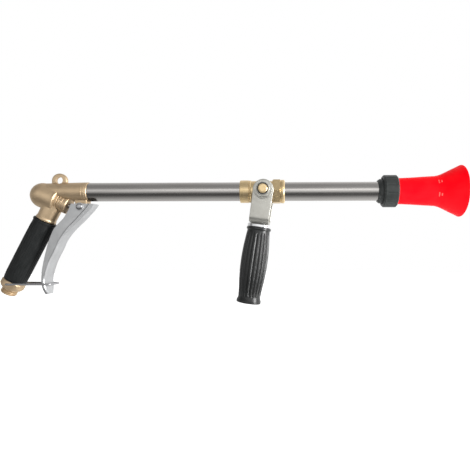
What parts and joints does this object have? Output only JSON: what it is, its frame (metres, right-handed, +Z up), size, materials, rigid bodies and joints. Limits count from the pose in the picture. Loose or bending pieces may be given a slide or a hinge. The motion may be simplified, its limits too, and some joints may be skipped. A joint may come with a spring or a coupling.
{
  "type": "fire hose nozzle",
  "caption": "Trigger hose lance with brass valve, rubber rear grip, tilting side handle, steel tubes, black ring nut and flared red nozzle shroud.",
  "frame": {"origin": "centre of the whole object's box at rest", "axes": "+X along the lance to the shroud, +Z up with both handles hanging down, -Y towards the side with the trigger pin's head"},
  "size_m": [0.6174, 0.0738, 0.1845],
  "materials": {
    "cast_brass": "cast, satin, slightly grainy",
    "turned_brass": "turned, satin",
    "cast_aluminium": "cast, bead-blasted",
    "steel": "bright drawn",
    "tube_steel": "polished along its length",
    "zinc": "zinc plated",
    "chrome": "polished",
    "grip_rubber": "moulded, satin",
    "seal_rubber": "matte",
    "black_plastic": "moulded, satin",
    "red_plastic": "moulded, satin gloss"
  },
  "bodies": {
    "lance": {"valve_body": "cast_brass", "valve_seat": "turned_brass", "gland_nut": "turned_brass", "stem_packing": "seal_rubber", "trigger_pin": "steel", "pin_clip": "steel", "handle_pipe": "turned_brass", "rear_grip_sleeve": "grip_rubber", "inlet_ferrule": "cast_brass", "inlet_strainer": "steel", "rear_tube": "tube_steel", "front_tube": "tube_steel", "mid_fitting": "turned_brass", "near_stud": "turned_brass", "far_stud": "turned_brass", "near_lock_nut": "zinc", "far_lock_nut": "zinc", "nozzle_body": "turned_brass", "nozzle_seal": "seal_rubber"},
    "trigger": {"trigger": "cast_aluminium"},
    "stem": {"valve_stem": "steel", "valve_poppet": "turned_brass", "poppet_seal": "seal_rubber", "valve_spring": "steel"},
    "bail": {"lock_bail": "steel"},
    "side_handle": {"handle_strap": "zinc", "near_washer": "zinc", "far_washer": "zinc", "grip_cap_washer": "chrome", "grip_bolt": "steel", "side_grip": "grip_rubber"},
    "twist_head": {"ring_nut": "black_plastic", "head_sleeve": "turned_brass", "jet_tip": "turned_brass", "red_shroud": "red_plastic"},
    "swirl": {"swirl_core": "turned_brass"}
  },
  "joints": [
    {"name": "trigger_pull", "type": "hinge", "parent": "lance", "child": "trigger", "pos_m": [-0.195, 0, 0.0376], "axis": [0, 1, 0], "range_deg": [0, 10], "stiffness_Nm_per_rad": 4, "springref_deg": -6.88},
    {"name": "stem_slide", "type": "slide", "parent": "lance", "child": "stem", "axis": [-0.9272, 0, 0.3746], "range_m": [0, 0.0018], "deforming": ["valve_spring"]},
    {"name": "bail_swing", "type": "hinge", "parent": "lance", "child": "bail", "pos_m": [-0.29299, 0, -0.06618], "axis": [0, 1, 0], "range_deg": [-8, 25]},
    {"name": "handle_tilt", "type": "hinge", "parent": "lance", "child": "side_handle", "pos_m": [0.051, 0, 0.0583], "axis": [0, 1, 0], "range_deg": [-50, 35]},
    {"name": "head_twist", "type": "hinge", "parent": "lance", "child": "twist_head", "pos_m": [0.231, 0, 0.0583], "axis": [1, 0, 0], "range_deg": [0, 180]},
    {"name": "swirl_slide", "type": "slide", "parent": "lance", "child": "swirl", "axis": [-1, 0, 0], "range_m": [0, 0.0023]}
  ],
  "couplings": [
    {"joint": "stem_slide", "follows": "trigger_pull", "m_per_rad": 0.01},
    {"joint": "swirl_slide", "follows": "head_twist", "m_per_rad": 0.0007}
  ]
}
